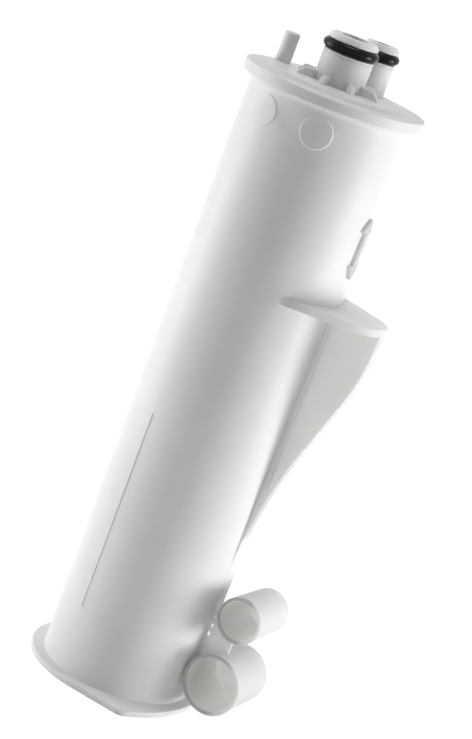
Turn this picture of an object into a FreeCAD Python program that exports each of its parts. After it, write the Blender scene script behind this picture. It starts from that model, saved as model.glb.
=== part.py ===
import FreeCAD, Part
import math
import os

from FreeCAD import Vector

# A descaling cartridge that stands on its foot. Millimetres, +Z up along the tube.
# The origin lies on the tube's axis, on the underside of the foot.
# +X points to the finger fin, and -Y is the side of the blank panel.

# Tube of the casing, closed below, a little narrower at the foot
tube_top_radius = 30.3
tube_taper = 1.1
tube_wall = 2.4
tube_floor = 3.0
body_height = 233.3

# Narrow flange at the top of the tube, on which the head is welded
weld_lip = 2.2
weld_flange_thickness = 0.5
weld_flange_round = 0.1
weld_fillet = 1.7

# Foot: round at the back, with straight sides and a bowed front end
foot_thickness = 2.0
foot_lip = 4.8
foot_nose_lip = 4.4
foot_nose_radius = 58.0
foot_corner_radius = 5.0
foot_fillet = 0.4

# Finger shelf and the fin that carries it
shelf_drop = 67.7
shelf_thickness = 3.0
shelf_reach = 20.5
shelf_nose_radius = 14.5
shelf_flank_angle = 23.5
shelf_edge_round = 0.4
fin_thickness = 2.6
fin_bead_width = 1.9
fin_root_width = 2.2
fin_bead_thickness = 3.8
fin_edge_setback = 0.1
fin_straight_length = 6.0
fin_upper_radius = 80.0
fin_lean_angle = 18.2
fin_lower_radius = 200.0

# Raised double arrow above the shelf
arrow_gap = 11.0
arrow_length = 23.3
arrow_head_length = 5.2
arrow_head_half_width = 3.3
arrow_shaft_half_width = 1.25
arrow_relief = 1.3

# Two round pads below the head, which follow the tube's skin and have a bevelled edge
pad_radius = 5.95
pad_drop = 9.2
pad_angle = 21.0
pad_relief = 0.3
pad_bevel = 0.25

# Sunk panel, left blank
panel_foot = 27.8
panel_height = 79.2
panel_turn = 1.5
panel_half_angle = 18.5
panel_depth = 0.25

# Web that carries the two closing caps, with a row of slots to tear it along
web_thickness = 1.0
web_overlap = 5.0
web_drop = 3.0
web_reach = 11.6
tear_gap = 1.3
slot_start = 8.2
slot_pitch = 3.45
slot_count = 3
slot_width = 1.0
slot_height = 1.9

# Closing caps, open toward -Y
cap_front = -7.0
cap_length = 26.0
cap_wall = 1.2
cap_floor = 1.5
cap_draft = 0.5
cap_edge_round = 0.9
large_cap_gap = 0.3
large_cap_lift = 3.1
small_cap_gap = 4.25
small_cap_lift = 6.95

# Head: a lid with a thick rim and a raised middle, hollow underneath
head_lip = 3.7
rim_height = 4.0
rim_round = 0.3
lid_wall = 2.2
plateau_margin = 5.6
plateau_rise = 1.3
register_depth = 5.0
register_wall = 2.0
register_clearance = 0.2
socket_wall = 1.9

# Spigots of the head. A seal stands proud of its spigot, above a collar and a narrow neck
spigot_rise = 17.9
neck_depth = 0.35
neck_height = 0.4
collar_thickness = 0.7
lip_thickness = 2.15
lip_bevel = 1.0
lip_bevel_height = 1.5
groove_spare = 0.5
groove_clearance = 0.05
large_spigot_radius = 9.4
large_bore_radius = 5.0
large_seal_proud = 1.1
large_seal_section = 3.7
small_spigot_radius = 6.8
small_bore_radius = 2.6
small_seal_proud = 0.95
small_seal_section = 3.5
small_spigot_x = 3.0
spigot_gap = 2.8

# Ribs around the large spigot, and the locating pin
rib_count = 8
rib_thickness = 1.3
rib_rise = 2.8
rib_flat_reach = 4.8
rib_foot_reach = 7.3
pin_radius = 2.95
pin_seat_margin = 0.4
pin_rise = 11.1
pin_inset = 10.5
pin_bevel = 0.4

# Inner pieces
riser_radius = 6.0
riser_wall = 1.4
riser_fit = 0.1
riser_top_gap = 0.2
riser_foot_gap = 2.5
loose_fit = 0.2
strainer_thickness = 2.0
strainer_stand = 6.0
strainer_leg_count = 6
strainer_leg_thickness = 1.6
strainer_leg_inset = 1.0
strainer_hub_gap = 2.5
strainer_slot_count = 24
strainer_slot_width = 1.0
strainer_slot_margin = 3.0
strainer_slot_bridge = 2.0
pad_thickness = 4.0

# Sizes that follow from the ones above
Z_AXIS = Vector(0, 0, 1)
tube_foot_radius = tube_top_radius - tube_taper
head_radius = tube_top_radius + head_lip
foot_radius = tube_foot_radius + foot_lip
foot_nose = tube_foot_radius + foot_nose_lip
shelf_top = body_height - shelf_drop
shelf_tip = tube_top_radius + shelf_reach
lid_top = body_height + rim_height
lid_underside = lid_top - lid_wall
plateau_top = lid_top + plateau_rise
plateau_radius = tube_top_radius - plateau_margin
register_foot = body_height - register_depth
spigot_top = plateau_top + spigot_rise
large_seal_radius = large_spigot_radius + large_seal_proud
small_seal_radius = small_spigot_radius + small_seal_proud
small_spigot_y = large_spigot_radius + spigot_gap + small_spigot_radius
pin_x = pin_inset - head_radius
large_cap_radius = large_seal_radius + cap_wall
small_cap_radius = small_seal_radius + cap_wall
large_cap_x = tube_foot_radius + large_cap_gap + large_cap_radius
small_cap_x = tube_foot_radius + small_cap_gap + small_cap_radius
large_cap_height = foot_thickness + large_cap_lift + large_cap_radius
small_cap_height = large_cap_height + large_cap_radius + small_cap_lift + small_cap_radius


def radius_at(z):
    """Outer radius of the tube at height z."""
    return tube_foot_radius + tube_taper * z / body_height


def bore_at(z):
    """Inner radius of the tube at height z."""
    return radius_at(z) - tube_wall


def cylinder(radius, low, high, x=0.0, y=0.0):
    return Part.makeCylinder(radius, high - low, Vector(x, y, low))


def cone(low_radius, high_radius, low, high):
    return Part.makeCone(low_radius, high_radius, high - low, Vector(0, 0, low))


def box(x0, x1, y0, y1, z0, z1):
    return Part.makeBox(x1 - x0, y1 - y0, z1 - z0, Vector(x0, y0, z0))


def turned(outline):
    """Solid turned about the Z axis from an outline of (radius, height) points."""
    points = [Vector(r, 0, z) for r, z in outline]
    face = Part.Face(Part.makePolygon(points + points[:1]))
    return face.revolve(Vector(0, 0, 0), Z_AXIS, 360)


def rounded_disc(radius, low, high, low_round, high_round):
    """Disc whose two outer edges are rounded."""
    low_mid = low_round * (1 - math.sqrt(0.5))
    high_mid = high_round * (1 - math.sqrt(0.5))
    edges = [
        Part.LineSegment(Vector(0, 0, low), Vector(radius - low_round, 0, low)),
        Part.Arc(
            Vector(radius - low_round, 0, low),
            Vector(radius - low_mid, 0, low + low_mid),
            Vector(radius, 0, low + low_round),
        ),
        Part.LineSegment(Vector(radius, 0, low + low_round), Vector(radius, 0, high - high_round)),
        Part.Arc(
            Vector(radius, 0, high - high_round),
            Vector(radius - high_mid, 0, high - high_mid),
            Vector(radius - high_round, 0, high),
        ),
        Part.LineSegment(Vector(radius - high_round, 0, high), Vector(0, 0, high)),
        Part.LineSegment(Vector(0, 0, high), Vector(0, 0, low)),
    ]
    face = Part.Face(Part.Wire([edge.toShape() for edge in edges]))
    return face.revolve(Vector(0, 0, 0), Z_AXIS, 360)


def corner_ring(radius, height, size, upward):
    """Hollow-curved ring that softens the inner corner between the tube and a flange."""
    side = 1 if upward else -1
    inside = radius - 0.5 * tube_wall
    mid = size * (1 - math.sqrt(0.5))
    edges = [
        Part.LineSegment(Vector(inside, 0, height), Vector(radius + size, 0, height)),
        Part.Arc(
            Vector(radius + size, 0, height),
            Vector(radius + mid, 0, height + side * mid),
            Vector(radius, 0, height + side * size),
        ),
        Part.LineSegment(Vector(radius, 0, height + side * size), Vector(inside, 0, height + side * size)),
        Part.LineSegment(Vector(inside, 0, height + side * size), Vector(inside, 0, height)),
    ]
    face = Part.Face(Part.Wire([edge.toShape() for edge in edges]))
    return face.revolve(Vector(0, 0, 0), Z_AXIS, 360)


def make_foot():
    disc = cylinder(foot_radius, 0, foot_thickness)
    front = box(0, foot_nose, -foot_radius, foot_radius, 0, foot_thickness)
    bow = cylinder(foot_nose_radius, 0, foot_thickness, x=foot_nose - foot_nose_radius)
    plate = disc.fuse(front).common(bow).removeSplitter()
    corners = [
        edge
        for edge in plate.Edges
        if edge.BoundBox.ZLength > 0.5 * foot_thickness
        and edge.BoundBox.XMin > 0.1 * foot_nose
        and abs(edge.BoundBox.YMin) > 0.5 * foot_radius
    ]
    return plate.makeFillet(foot_corner_radius, corners)


def make_shelf():
    """Plate with straight flanks that run tangent into a round nose."""
    angle = math.radians(shelf_flank_angle)
    centre = shelf_tip - shelf_nose_radius
    normal = Vector(math.sin(angle), math.cos(angle), 0)
    nose_touch = Vector(centre, 0, 0) + normal * shelf_nose_radius
    # the flank's point nearest to the tube's axis lies inside the tube
    root = normal * (centre * math.sin(angle) + shelf_nose_radius)
    low = shelf_top - shelf_thickness
    tip = Vector(shelf_tip, 0, low)

    def at(point, side):
        return Vector(point.x, side * point.y, low)

    edges = [
        Part.LineSegment(at(root, -1), at(nose_touch, -1)),
        Part.Arc(at(nose_touch, -1), tip, at(nose_touch, 1)),
        Part.LineSegment(at(nose_touch, 1), at(root, 1)),
        Part.LineSegment(at(root, 1), at(root, -1)),
    ]
    face = Part.Face(Part.Wire([edge.toShape() for edge in edges]))
    plate = face.extrude(Vector(0, 0, shelf_thickness))
    rim = [
        edge
        for edge in plate.Edges
        if edge.BoundBox.ZLength < 0.5 * shelf_thickness and edge.BoundBox.XMax > 0.5 * shelf_tip
    ]
    return plate.makeFillet(shelf_edge_round, rim)


def fin_plate(inset, thickness):
    """Upright plate under the shelf. Its outer edge bends down and in, and dies into the tube."""
    lean = math.radians(fin_lean_angle)
    reach = shelf_tip - fin_edge_setback
    top = shelf_top - 0.5 * shelf_thickness
    upper_x = reach - fin_upper_radius * (1 - math.cos(lean))
    bend = shelf_top - fin_straight_length
    upper_z = bend - fin_upper_radius * math.sin(lean)
    lower_x = tube_foot_radius + fin_lower_radius * (1 - math.cos(lean))
    drop = (upper_x - lower_x) / math.tan(lean)
    foot = upper_z - drop - fin_lower_radius * math.sin(lean)

    def upper(turn):
        size = fin_upper_radius - inset
        return Vector(reach - fin_upper_radius + size * math.cos(turn), 0, bend - size * math.sin(turn))

    def lower(turn):
        size = fin_lower_radius + inset
        return Vector(
            tube_foot_radius + fin_lower_radius - size * math.cos(turn), 0, foot + size * math.sin(turn)
        )

    inside = tube_foot_radius - 0.5 * tube_wall - fin_bead_width
    corner_high = Vector(inside, 0, top)
    corner_low = Vector(inside, 0, foot)
    edges = [
        Part.LineSegment(Vector(reach - inset, 0, top), upper(0)),
        Part.Arc(upper(0), upper(0.5 * lean), upper(lean)),
        Part.LineSegment(upper(lean), lower(lean)),
        Part.Arc(lower(lean), lower(0.5 * lean), lower(0)),
        Part.LineSegment(lower(0), corner_low),
        Part.LineSegment(corner_low, corner_high),
        Part.LineSegment(corner_high, Vector(reach - inset, 0, top)),
    ]
    face = Part.Face(Part.Wire([edge.toShape() for edge in edges]))
    face.translate(Vector(0, -0.5 * thickness, 0))
    return face.extrude(Vector(0, thickness, 0))


def make_fin():
    """Fin with a thick band along its outer edge and one along the tube."""
    root = cone(tube_foot_radius + fin_root_width, tube_top_radius + fin_root_width, 0, body_height)
    field = fin_plate(fin_bead_width, fin_bead_thickness).cut(root)
    bands = fin_plate(0, fin_bead_thickness).cut(field)
    return fin_plate(0, fin_thickness).fuse(bands)


def make_arrow():
    """Raised arrow with a head at each end, on the fin's side of the tube."""
    foot = shelf_top + arrow_gap
    top = foot + arrow_length
    low_neck = foot + arrow_head_length
    high_neck = top - arrow_head_length
    half = [
        (0, foot),
        (arrow_head_half_width, low_neck),
        (arrow_shaft_half_width, low_neck),
        (arrow_shaft_half_width, high_neck),
        (arrow_head_half_width, high_neck),
        (0, top),
    ]
    other_half = [(-y, z) for y, z in half[-2:0:-1]]
    inside = radius_at(foot) - 0.5 * tube_wall
    outside = radius_at(foot + 0.5 * arrow_length) + arrow_relief
    points = [Vector(inside, y, z) for y, z in half + other_half]
    face = Part.Face(Part.makePolygon(points + points[:1]))
    return face.extrude(Vector(outside - inside, 0, 0))


def make_pad(angle):
    """Round patch that stands proud of the tube, at an angle from -Y about the tube's axis."""
    turn = math.radians(angle)
    outward = Vector(math.sin(turn), -math.cos(turn), 0)
    skin = cone(tube_foot_radius + pad_relief, tube_top_radius + pad_relief, 0, body_height)
    root = outward * (tube_foot_radius - tube_wall)
    middle = Z_AXIS * (body_height - pad_drop) + root
    pad = Part.makeCylinder(pad_radius, head_radius, middle, outward).common(skin)
    rim = max(pad.Edges, key=lambda edge: edge.BoundBox.Center.dot(outward))
    return pad.makeChamfer(pad_bevel, [rim])


def panel_pocket():
    """Shallow sector of the tube's skin, on the -Y side."""
    top = panel_foot + panel_height
    core = cone(radius_at(panel_foot) - panel_depth, radius_at(top) - panel_depth, panel_foot, top)
    foot_centre = Vector(0, 0, panel_foot)
    sector = Part.makeCylinder(head_radius, panel_height, foot_centre, Z_AXIS, 2 * panel_half_angle)
    sector.rotate(Vector(0, 0, 0), Z_AXIS, -90 - panel_turn - panel_half_angle)
    return sector.cut(core)


def laid_along_y(shape, x, height):
    """Turns a shape from its own Z axis to +Y and moves it to a cap's place."""
    turned_shape = shape.copy()
    turned_shape.rotate(Vector(0, 0, 0), Vector(1, 0, 0), -90)
    turned_shape.translate(Vector(x, cap_front, height))
    return turned_shape


def cap_body(radius):
    """Outside of a cap, along Z from its open rim to its closed end."""
    end = radius - cap_draft
    mid = cap_edge_round * (1 - math.sqrt(0.5))
    edges = [
        Part.LineSegment(Vector(0, 0, 0), Vector(radius, 0, 0)),
        Part.LineSegment(Vector(radius, 0, 0), Vector(end, 0, cap_length - cap_edge_round)),
        Part.Arc(
            Vector(end, 0, cap_length - cap_edge_round),
            Vector(end - mid, 0, cap_length - mid),
            Vector(end - cap_edge_round, 0, cap_length),
        ),
        Part.LineSegment(Vector(end - cap_edge_round, 0, cap_length), Vector(0, 0, cap_length)),
        Part.LineSegment(Vector(0, 0, cap_length), Vector(0, 0, 0)),
    ]
    face = Part.Face(Part.Wire([edge.toShape() for edge in edges]))
    return face.revolve(Vector(0, 0, 0), Z_AXIS, 360)


def cap_hollow(radius):
    mouth = radius - cap_wall
    return cone(mouth, mouth - cap_draft, 0, cap_length - cap_floor)


def make_tear_web():
    """Thin plate between the tube and the caps, slotted close to the tube."""
    inside = tube_foot_radius - 0.5 * tube_wall
    half = 0.5 * web_thickness
    foot = large_cap_height + large_cap_radius - web_overlap
    top = small_cap_height - web_drop
    web = box(inside, tube_foot_radius + web_reach, -half, half, foot, top)
    for index in range(slot_count):
        middle = foot + slot_start + index * slot_pitch
        left = radius_at(middle) + tear_gap - 0.5 * slot_width
        low = middle - 0.5 * slot_height
        web = web.cut(box(left, left + slot_width, -web_thickness, web_thickness, low, low + slot_height))
    return web


def make_casing():
    flange_foot = body_height - weld_flange_thickness
    flange_radius = tube_top_radius + weld_lip
    body = cone(tube_foot_radius, tube_top_radius, 0, body_height)
    body = body.fuse(rounded_disc(flange_radius, flange_foot, body_height, weld_flange_round, weld_flange_round))
    body = body.fuse(corner_ring(radius_at(flange_foot), flange_foot, weld_fillet, False))
    body = body.fuse(corner_ring(radius_at(foot_thickness), foot_thickness, foot_fillet, True))
    body = body.fuse([make_foot(), make_shelf(), make_fin(), make_arrow()])
    body = body.fuse([make_pad(pad_angle), make_pad(-pad_angle)])
    body = body.cut(panel_pocket())
    caps = [
        (large_cap_radius, large_cap_x, large_cap_height),
        (small_cap_radius, small_cap_x, small_cap_height),
    ]
    body = body.fuse(make_tear_web())
    body = body.fuse([laid_along_y(cap_body(radius), x, height) for radius, x, height in caps])
    for radius, x, height in caps:
        body = body.cut(laid_along_y(cap_hollow(radius), x, height))
    cavity = cone(bore_at(tube_floor), bore_at(body_height), tube_floor, body_height)
    return body.cut(cavity).removeSplitter()


def seal_height(section):
    """Height of a seal's middle, which is the middle of its groove under the spigot's lip."""
    return spigot_top - lip_thickness - 0.5 * (section + groove_spare)


def make_spigot(radius, seal_radius, section):
    """Spigot on the Z axis with a groove for its seal, not yet bored."""
    foot = lid_top - 0.5 * lid_wall
    neck = radius - neck_depth
    groove = seal_radius - section - groove_clearance
    groove_top = spigot_top - lip_thickness
    groove_foot = groove_top - section - groove_spare
    neck_top = groove_foot - collar_thickness
    neck_foot = neck_top - neck_height
    return turned([
        (0, foot),
        (radius, foot),
        (radius, neck_foot),
        (neck, neck_foot),
        (neck, neck_top),
        (radius, neck_top),
        (radius, groove_foot),
        (groove, groove_foot),
        (groove, groove_top),
        (radius, groove_top),
        (radius, spigot_top - lip_bevel_height),
        (radius - lip_bevel, spigot_top),
        (0, spigot_top),
    ])


def make_rib(index):
    """Upright rib between the large spigot and the lid, flat on top with a sloping end."""
    start = large_bore_radius + 0.5 * (large_spigot_radius - large_bore_radius)
    low = lid_top - 0.5 * lid_wall
    top = plateau_top + rib_rise
    half = 0.5 * rib_thickness
    flat_end = large_spigot_radius + rib_flat_reach
    foot_end = large_spigot_radius + rib_foot_reach
    outline = [
        (start, low),
        (foot_end, low),
        (foot_end, plateau_top),
        (flat_end, top),
        (start, top),
    ]
    points = [Vector(r, -half, z) for r, z in outline]
    rib = Part.Face(Part.makePolygon(points + points[:1])).extrude(Vector(0, rib_thickness, 0))
    rib.rotate(Vector(0, 0, 0), Z_AXIS, index * 360 / rib_count)
    return rib


def make_head():
    lid = rounded_disc(head_radius, body_height, lid_top, rim_round, rim_round)
    lid = lid.fuse(cone(plateau_radius + plateau_rise, plateau_radius, lid_top, plateau_top))
    register_radius = bore_at(register_foot) - register_clearance
    lid = lid.fuse(cylinder(register_radius, register_foot, lid_top))
    lid = lid.cut(cylinder(register_radius - register_wall, register_foot, lid_underside))
    socket = cylinder(riser_radius + riser_fit + socket_wall, register_foot, lid_underside)
    large = make_spigot(large_spigot_radius, large_seal_radius, large_seal_section)
    small = make_spigot(small_spigot_radius, small_seal_radius, small_seal_section)
    small.translate(Vector(small_spigot_x, small_spigot_y, 0))
    pin_top = plateau_top + pin_rise
    pin = turned([
        (0, lid_top),
        (pin_radius + pin_seat_margin, lid_top),
        (pin_radius + pin_seat_margin, plateau_top),
        (pin_radius, plateau_top),
        (pin_radius, pin_top - pin_bevel),
        (pin_radius - pin_bevel, pin_top),
        (0, pin_top),
    ])
    pin.translate(Vector(pin_x, 0, 0))
    ribs = [make_rib(index) for index in range(rib_count)]
    head = lid.fuse([socket, large, small, pin] + ribs)
    head = head.cut(cylinder(riser_radius + riser_fit, register_foot, lid_underside))
    head = head.cut(cylinder(large_bore_radius, register_foot, spigot_top))
    head = head.cut(cylinder(small_bore_radius, register_foot, spigot_top, small_spigot_x, small_spigot_y))
    return head.removeSplitter()


def make_seal(seal_radius, section, x=0.0, y=0.0):
    centre = Vector(x, y, seal_height(section))
    return Part.makeTorus(seal_radius - 0.5 * section, 0.5 * section, centre, Z_AXIS)


def make_riser():
    low = tube_floor + riser_foot_gap
    high = lid_underside - riser_top_gap
    return cylinder(riser_radius, low, high).cut(cylinder(riser_radius - riser_wall, low, high))


def strainer_slots(radius, low, high):
    """Two rings of radial slots between the hub and the rim of a strainer."""
    inner = riser_radius + strainer_slot_margin
    outer = radius - strainer_slot_margin
    middle = 0.5 * (inner + outer)
    half = 0.5 * strainer_slot_width
    slots = []
    for index in range(strainer_slot_count):
        turn = (index + 0.5) * 360 / strainer_slot_count
        outer_slot = box(middle + 0.5 * strainer_slot_bridge, outer, -half, half, low, high)
        outer_slot.rotate(Vector(0, 0, 0), Z_AXIS, turn)
        slots.append(outer_slot)
        if index % 2 == 0:
            inner_slot = box(inner, middle - 0.5 * strainer_slot_bridge, -half, half, low, high)
            inner_slot.rotate(Vector(0, 0, 0), Z_AXIS, turn)
            slots.append(inner_slot)
    return slots


def strainer_plate(low):
    high = low + strainer_thickness
    radius = bore_at(low) - loose_fit
    plate = cylinder(radius, low, high).cut(cylinder(riser_radius + loose_fit, low, high))
    return plate.cut(strainer_slots(radius, low, high))


def make_lower_strainer():
    """Slotted plate that stands on six legs on the tube's floor."""
    plate_foot = tube_floor + strainer_stand
    start = riser_radius + strainer_hub_gap
    end = bore_at(tube_floor) - loose_fit - strainer_leg_inset
    half = 0.5 * strainer_leg_thickness
    legs = []
    for index in range(strainer_leg_count):
        leg = box(start, end, -half, half, tube_floor, plate_foot)
        leg.rotate(Vector(0, 0, 0), Z_AXIS, index * 360 / strainer_leg_count)
        legs.append(leg)
    return strainer_plate(plate_foot).fuse(legs).removeSplitter()


def filter_pad(low):
    high = low + pad_thickness
    return cylinder(bore_at(low) - loose_fit, low, high).cut(cylinder(riser_radius + loose_fit, low, high))


def make_charge(low, high):
    """Bed of descaling granules around the riser."""
    bed = cone(bore_at(low) - loose_fit, bore_at(high) - loose_fit, low, high)
    return bed.cut(cylinder(riser_radius + loose_fit, low, high))


lower_pad_foot = tube_floor + strainer_stand + strainer_thickness
upper_strainer_foot = register_foot - strainer_thickness
upper_pad_foot = upper_strainer_foot - pad_thickness

pieces = {
    "casing": make_casing(),
    "head": make_head(),
    "large_spigot_seal": make_seal(large_seal_radius, large_seal_section),
    "small_spigot_seal": make_seal(small_seal_radius, small_seal_section, small_spigot_x, small_spigot_y),
    "riser_tube": make_riser(),
    "lower_strainer": make_lower_strainer(),
    "lower_filter_pad": filter_pad(lower_pad_foot),
    "descaler_charge": make_charge(lower_pad_foot + pad_thickness, upper_pad_foot),
    "upper_filter_pad": filter_pad(upper_pad_foot),
    "upper_strainer": strainer_plate(upper_strainer_foot),
}

os.makedirs("parts", exist_ok=True)
for name, shape in pieces.items():
    shape.exportStep("parts/" + name + ".step")
    print(name, "solids", len(shape.Solids), "valid", shape.isValid(), "volume", round(shape.Volume))
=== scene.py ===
import math
import bmesh
import bpy
from mathutils import Matrix, Vector

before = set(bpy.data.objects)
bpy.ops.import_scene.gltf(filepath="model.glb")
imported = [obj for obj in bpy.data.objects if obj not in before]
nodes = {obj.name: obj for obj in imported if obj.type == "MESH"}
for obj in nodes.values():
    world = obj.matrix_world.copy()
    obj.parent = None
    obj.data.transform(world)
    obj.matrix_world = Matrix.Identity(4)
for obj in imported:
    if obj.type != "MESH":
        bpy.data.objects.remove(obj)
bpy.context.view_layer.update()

# Parting line on the fin's edge, which shows from this x on
parting_from = 0.026
parting_from_blur = 0.001
parting_half_width = 0.00019
parting_blur = 0.00011

# Thin walls of the casing: farther out than the tube, above the foot and up to the shelf
thin_from = 0.0306
thin_from_blur = 0.0004
thin_top = 0.2
thin_top_blur = 0.001
thin_foot = 0.0032
thin_foot_blur = 0.0008

# Closing caps: middle in x, middle in z and radius of each mouth
cap_mouths = ((0.0412, 0.0168, 0.0105), (0.0424, 0.0444, 0.00775))
cap_mouth = -0.007
cap_wall = 0.0012

# Painted shade on the caps' rims, a darker colour where they lie in their own shade: how deep it goes, how
# wide it is, and how far across as a share of the radius
rim_depth = 0.00055
rim_depth_blur = 0.00025
rim_inner_spare = 0.0001
rim_outer_spare = 0.0003
rim_blur = 0.0001
painted_rim_shade_reach = 0.45
painted_rim_shade_blur = 0.25
painted_rim_shade_colour = (0.6, 0.6, 0.59, 1.0)

# Share of light that natural plastic lets through
through_plain = 0.12
through_tube = 0.1
through_thin = 0.5

# Heights of the marks on natural plastic, as shares of the bump's depth
plastic_bump = 0.00012
parting_rise = 2.0
grain_rise = 0.25
flow_rise = 0.5

# Floor. The camera sees it by a glow, which is weaker near the object, and by the light that falls on it
white = (1.0, 1.0, 1.0, 1.0)
floor_half = 9.0
floor_near = 0.15
floor_far = 0.9
glow_near = 0.78
glow_far = 1.0

# Camera
camera_place = Vector((0.3071, -0.7235, 0.3287))
camera_heading = math.radians(112.83)
camera_pitch = math.radians(14.35)
camera_roll = math.radians(20.91)
sensor_width = 36.0
lens_length = 107.15

# Lamps around the object's middle. A turn is in degrees from the camera's side to the right
middle = Vector((0.0, 0.0, 0.13))
lamps = {
    "lamp_left": dict(turn=-98.0, distance=0.9, height=0.08, wide=0.5, tall=1.3, watts=4.3),
    "lamp_left_low": dict(turn=-98.0, distance=0.45, height=-0.05, wide=0.3, tall=0.14, watts=0.8),
    "lamp_right": dict(turn=87.0, distance=0.9, height=-0.1, wide=0.2, tall=0.9, watts=4.3),
    "lamp_right_low": dict(turn=87.0, distance=0.45, height=-0.05, wide=0.2, tall=0.14, watts=0.9),
    "lamp_right_front": dict(turn=72.0, distance=0.9, height=-0.1, wide=0.5, tall=0.9, watts=1.4),
    "lamp_top": dict(turn=180.0, distance=0.1, height=1.1, wide=0.4, tall=0.4, watts=3.6),
}

# Light of the surroundings, from the camera's side and from the far side, and where it changes between them
light_front = 0.265
light_back = 0.4
light_turn_start = -0.2
light_turn_end = 0.8


# Small helpers for node trees

def feed(tree, socket, value):
    """Gives a socket a value, or links it to the socket that feeds it."""
    if isinstance(value, bpy.types.NodeSocket):
        tree.links.new(value, socket)
    else:
        socket.default_value = value


def add(tree, kind, settings=None, **inputs):
    """Adds a shader node. An input is a value, or the socket that feeds it."""
    node = tree.nodes.new("ShaderNode" + kind)
    for name, value in (settings or {}).items():
        setattr(node, name, value)
    for name, value in inputs.items():
        feed(tree, node.inputs[name.replace("_", " ")], value)
    return node


def new_material(name):
    material = bpy.data.materials.new(name)
    material.use_nodes = True
    material.node_tree.nodes.clear()
    return material, material.node_tree


def finish_material(tree, shader):
    output = tree.nodes.new("ShaderNodeOutputMaterial")
    tree.links.new(shader.outputs[0], output.inputs["Surface"])


def math_node(tree, operation, first, second=0.0):
    node = tree.nodes.new("ShaderNodeMath")
    node.operation = operation
    feed(tree, node.inputs[0], first)
    feed(tree, node.inputs[1], second)
    return node.outputs[0]


def multiply(tree, first, *others):
    for other in others:
        first = math_node(tree, "MULTIPLY", first, other)
    return first


def length(tree, vector):
    return add(tree, "VectorMath", {"operation": "LENGTH"}, Vector=vector).outputs["Value"]


def blend_colour(tree, factor, first, second):
    node = tree.nodes.new("ShaderNodeMix")
    node.data_type = "RGBA"
    # inputs 6 and 7 and output 2 are the node's colours
    for index, value in ((0, factor), (6, first), (7, second)):
        feed(tree, node.inputs[index], value)
    return node.outputs[2]


def blend_shaders(tree, factor, first, second):
    node = tree.nodes.new("ShaderNodeMixShader")
    feed(tree, node.inputs[0], factor)
    tree.links.new(first.outputs[0], node.inputs[1])
    tree.links.new(second.outputs[0], node.inputs[2])
    return node


def ramp(tree, value, low, high, out_low=0.0, out_high=1.0):
    """Eased step of a value from low to high."""
    node = add(
        tree, "MapRange", {"interpolation_type": "SMOOTHSTEP"},
        Value=value, From_Min=low, From_Max=high, To_Min=out_low, To_Max=out_high,
    )
    return node.outputs["Result"]


def above(tree, value, place, blur):
    return ramp(tree, value, place - blur, place + blur)


def below(tree, value, place, blur):
    return ramp(tree, value, place - blur, place + blur, 1.0, 0.0)


def noise(tree, place, scale, detail=2.0, roughness=0.5):
    node = add(tree, "TexNoise", Vector=place, Scale=scale, Detail=detail, Roughness=roughness)
    return node.outputs["Fac"]


def object_place(tree, stretch=(1.0, 1.0, 1.0)):
    place = add(tree, "TexCoord").outputs["Object"]
    return add(tree, "Mapping", Vector=place, Scale=stretch).outputs["Vector"]


def seen_directly(tree):
    """1 for rays from the camera, a mirror or a clear body, and 0 for rays that gather light."""
    path = add(tree, "LightPath")
    seen = math_node(tree, "MAXIMUM", path.outputs["Is Camera Ray"], path.outputs["Is Glossy Ray"])
    return math_node(tree, "MAXIMUM", seen, path.outputs["Is Transmission Ray"])


# Places on the casing that its plastic marks by itself, among them painted shade on the caps' rims

def parting_line(tree, parts):
    """Fine raised line where the two halves of the mould met, on the fin's edge."""
    side = math_node(tree, "ABSOLUTE", parts.outputs["Y"])
    on_line = below(tree, side, parting_half_width, parting_blur)
    front = above(tree, parts.outputs["X"], parting_from, parting_from_blur)
    return multiply(tree, on_line, front)


def thin_walls(tree, parts):
    """The caps, their web, the fin and its shelf, which let more light through than the tube."""
    flat = add(tree, "CombineXYZ", X=parts.outputs["X"], Y=parts.outputs["Y"])
    outside = above(tree, length(tree, flat.outputs[0]), thin_from, thin_from_blur)
    under_top = below(tree, parts.outputs["Z"], thin_top, thin_top_blur)
    over_foot = above(tree, parts.outputs["Z"], thin_foot, thin_foot_blur)
    return multiply(tree, outside, under_top, over_foot)


def painted_rim_shade_mask(tree, parts):
    """Mask for painted shade on the ring-shaped end faces of the caps, on the side that lies in their own
    shade.
    """
    front = below(tree, parts.outputs["Y"], cap_mouth + rim_depth, rim_depth_blur)
    rims = 0.0
    for x, z, radius in cap_mouths:
        across = math_node(tree, "SUBTRACT", parts.outputs["X"], x)
        up = math_node(tree, "SUBTRACT", parts.outputs["Z"], z)
        away = length(tree, add(tree, "CombineXYZ", X=across, Y=up).outputs[0])
        outside = above(tree, away, radius - rim_inner_spare, rim_blur)
        inside = below(tree, away, radius + cap_wall + rim_outer_spare, rim_blur)
        shaded = below(tree, across, painted_rim_shade_reach * radius, painted_rim_shade_blur * radius)
        rims = math_node(tree, "MAXIMUM", multiply(tree, outside, inside, shaded), rims)
    return multiply(tree, rims, front)


# Materials

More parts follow.
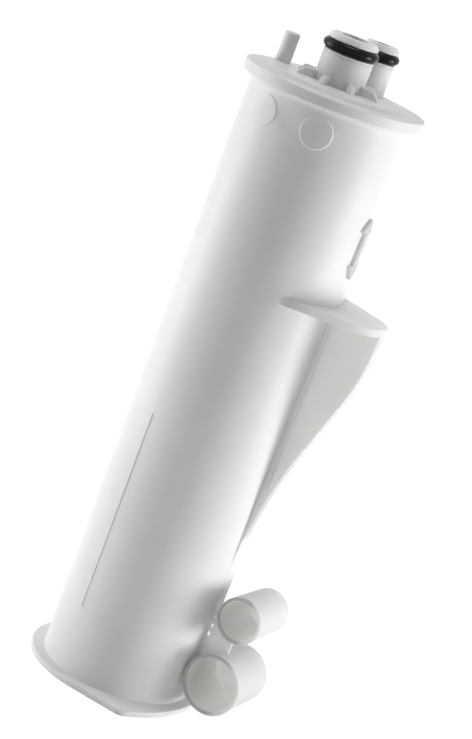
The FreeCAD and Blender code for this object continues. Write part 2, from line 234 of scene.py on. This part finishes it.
def natural_plastic(name, light, deep, casing=False):
    """Satin, slightly see-through white polypropylene with flow marks and a fine moulded grain."""
    material, tree = new_material(name)
    place = object_place(tree)
    flow_place = object_place(tree, stretch=(1.0, 1.0, 0.12))
    flow = noise(tree, flow_place, scale=110.0, detail=3.0, roughness=0.55)
    cloud = noise(tree, place, scale=26.0)
    grain = noise(tree, place, scale=1900.0)
    colour = blend_colour(tree, ramp(tree, cloud, low=0.3, high=0.7), light, deep)
    roughness = ramp(tree, flow, low=0.25, high=0.75, out_low=0.34, out_high=0.46)
    height = math_node(tree, "ADD", multiply(tree, grain, grain_rise), multiply(tree, flow, flow_rise))
    through_share = through_plain
    if casing:
        parts = add(tree, "SeparateXYZ", Vector=place)
        height = math_node(tree, "ADD", height, multiply(tree, parting_line(tree, parts), parting_rise))
        # Painted shade: the caps' rims take a darker colour on the side where they lie in their own shade
        colour = blend_colour(tree, painted_rim_shade_mask(tree, parts), colour, painted_rim_shade_colour)
        through_share = ramp(tree, thin_walls(tree, parts), 0.0, 1.0, through_tube, through_thin)
    bump = add(tree, "Bump", Strength=0.35, Distance=plastic_bump, Height=height).outputs["Normal"]
    skin = add(
        tree, "BsdfPrincipled", Base_Color=colour, Roughness=roughness, Normal=bump, IOR=1.49,
        Specular_IOR_Level=0.2, Subsurface_Weight=0.5, Subsurface_Radius=(1.0, 0.96, 0.9),
        Subsurface_Scale=0.0015,
    )
    through = add(tree, "BsdfTranslucent", Color=colour, Normal=bump)
    finish_material(tree, blend_shaders(tree, through_share, skin, through))
    return material


def rubber():
    """Black rubber with small highlights and a very fine grain."""
    dark = (0.003, 0.003, 0.003, 1.0)
    pale = (0.007, 0.007, 0.007, 1.0)
    material, tree = new_material("rubber")
    place = object_place(tree)
    cloud = noise(tree, place, scale=240.0, detail=3.0)
    grain = noise(tree, place, scale=3200.0)
    colour = blend_colour(tree, cloud, dark, pale)
    roughness = ramp(tree, cloud, low=0.3, high=0.7, out_low=0.12, out_high=0.22)
    bump = add(tree, "Bump", Strength=0.2, Distance=0.00004, Height=grain).outputs["Normal"]
    shader = add(
        tree, "BsdfPrincipled", Base_Color=colour, Roughness=roughness, Normal=bump, IOR=1.5,
        Specular_IOR_Level=0.12,
    )
    finish_material(tree, shader)
    return material


def felt():
    """Off-white felt with clumps of fibres."""
    light = (0.78, 0.77, 0.73, 1.0)
    deep = (0.66, 0.65, 0.6, 1.0)
    material, tree = new_material("felt")
    fibres = noise(tree, object_place(tree, stretch=(1.0, 1.0, 3.0)), scale=900.0, detail=6.0, roughness=0.7)
    clumps = noise(tree, object_place(tree), scale=160.0)
    colour = blend_colour(tree, clumps, light, deep)
    bump = add(tree, "Bump", Strength=0.8, Distance=0.0004, Height=fibres).outputs["Normal"]
    shader = add(tree, "BsdfPrincipled", Base_Color=colour, Roughness=0.95, Normal=bump, Sheen_Weight=0.3)
    finish_material(tree, shader)
    return material


def granules():
    """Bed of round, yellowish grains."""
    light = (0.8, 0.77, 0.68, 1.0)
    deep = (0.62, 0.57, 0.46, 1.0)
    material, tree = new_material("granules")
    cells = add(tree, "TexVoronoi", Vector=object_place(tree), Scale=620.0)
    colour = blend_colour(tree, cells.outputs["Color"], light, deep)
    round_top = ramp(tree, cells.outputs["Distance"], low=0.0, high=0.7, out_low=1.0, out_high=0.0)
    bump = add(tree, "Bump", Strength=1.0, Distance=0.0007, Height=round_top).outputs["Normal"]
    shader = add(tree, "BsdfPrincipled", Base_Color=colour, Roughness=0.6, Normal=bump)
    finish_material(tree, shader)
    return material


def floor_material():
    """Pale floor. The camera and mirrors see it white, with the object's shadow on it."""
    light = (0.92, 0.92, 0.92, 1.0)
    deep = (0.9, 0.9, 0.9, 1.0)
    grey = (0.42, 0.42, 0.42, 1.0)
    material, tree = new_material("floor")
    cloud = noise(tree, object_place(tree), scale=3.0)
    real = add(tree, "BsdfDiffuse", Color=blend_colour(tree, cloud, light, deep))
    away = length(tree, object_place(tree))
    glow = add(
        tree, "Emission", Color=white, Strength=ramp(tree, away, floor_near, floor_far, glow_near, glow_far),
    )
    lit = add(tree, "BsdfDiffuse", Color=grey)
    seen = tree.nodes.new("ShaderNodeAddShader")
    tree.links.new(glow.outputs[0], seen.inputs[0])
    tree.links.new(lit.outputs[0], seen.inputs[1])
    finish_material(tree, blend_shaders(tree, seen_directly(tree), real, seen))
    return material


finishes = {
    "casing": natural_plastic(
        "casing_plastic", light=(0.87, 0.868, 0.862, 1.0), deep=(0.84, 0.838, 0.83, 1.0), casing=True,
    ),
    "head": natural_plastic("head_plastic", light=(0.86, 0.86, 0.856, 1.0), deep=(0.83, 0.83, 0.824, 1.0)),
    "inner": natural_plastic("inner_plastic", light=(0.8, 0.8, 0.79, 1.0), deep=(0.76, 0.76, 0.75, 1.0)),
    "rubber": rubber(),
    "felt": felt(),
    "granules": granules(),
}
finish_of = {
    "casing": "casing",
    "head": "head",
    "large_spigot_seal": "rubber",
    "small_spigot_seal": "rubber",
    "riser_tube": "inner",
    "lower_strainer": "inner",
    "upper_strainer": "inner",
    "lower_filter_pad": "felt",
    "upper_filter_pad": "felt",
    "descaler_charge": "granules",
}
for name, finish in finish_of.items():
    for material_slot in nodes[name].material_slots:
        material_slot.material = finishes[finish]


# Floor, lights and camera

def into_scene(name, data):
    """New object with this mesh, light or camera."""
    item = bpy.data.objects.new(name, data)
    bpy.context.scene.collection.objects.link(item)
    return item


def flat_sheet(name, half, material):
    """Square sheet on the ground, this far to each side."""
    mesh = bpy.data.meshes.new(name)
    shape = bmesh.new()
    corners = [shape.verts.new((x * half, y * half, 0.0)) for x, y in ((-1, -1), (1, -1), (1, 1), (-1, 1))]
    shape.faces.new(corners)
    shape.to_mesh(mesh)
    shape.free()
    mesh.materials.append(material)
    return into_scene(name, mesh)


def soft_lamp(name, turn, distance, height, wide, tall, watts):
    """Area lamp that faces the object's middle."""
    data = bpy.data.lights.new(name, "AREA")
    data.shape = "RECTANGLE"
    data.size = wide
    data.size_y = tall
    data.energy = watts
    angle = camera_heading + math.pi + math.radians(turn)
    lamp = into_scene(name, data)
    lamp.location = middle + Vector((distance * math.cos(angle), distance * math.sin(angle), height))
    lamp.rotation_euler = (middle - lamp.location).to_track_quat("-Z", "Y").to_euler()


def surroundings():
    """White for the camera and mirrors, and dimmer as a light, most of all from the camera's side."""
    world = bpy.data.worlds.new("studio")
    world.use_nodes = True
    tree = world.node_tree
    tree.nodes.clear()
    direction = add(tree, "TexCoord").outputs["Generated"]
    toward_back = add(tree, "VectorMath", {"operation": "DOT_PRODUCT"}, Vector=direction)
    toward_back.inputs[1].default_value = (math.cos(camera_heading), math.sin(camera_heading), 0.0)
    depth = toward_back.outputs["Value"]
    light = ramp(tree, depth, light_turn_start, light_turn_end, light_front, light_back)
    strength = math_node(tree, "MAXIMUM", light, seen_directly(tree))
    background = add(tree, "Background", Color=white, Strength=strength)
    output = tree.nodes.new("ShaderNodeOutputWorld")
    tree.links.new(background.outputs[0], output.inputs["Surface"])
    return world


floor = flat_sheet("floor", floor_half, floor_material())
for name, row in lamps.items():
    soft_lamp(name, **row)
bpy.context.scene.world = surroundings()

camera_data = bpy.data.cameras.new("camera")
camera_data.sensor_width = sensor_width
camera_data.lens = lens_length
camera = into_scene("camera", camera_data)
camera.matrix_world = (
    Matrix.Translation(camera_place)
    @ Matrix.Rotation(camera_heading - math.pi / 2, 4, "Z")
    @ Matrix.Rotation(math.pi / 2 - camera_pitch, 4, "X")
    @ Matrix.Rotation(camera_roll, 4, "Z")
)
bpy.context.scene.camera = camera
bpy.context.scene.view_settings.view_transform = "Standard"
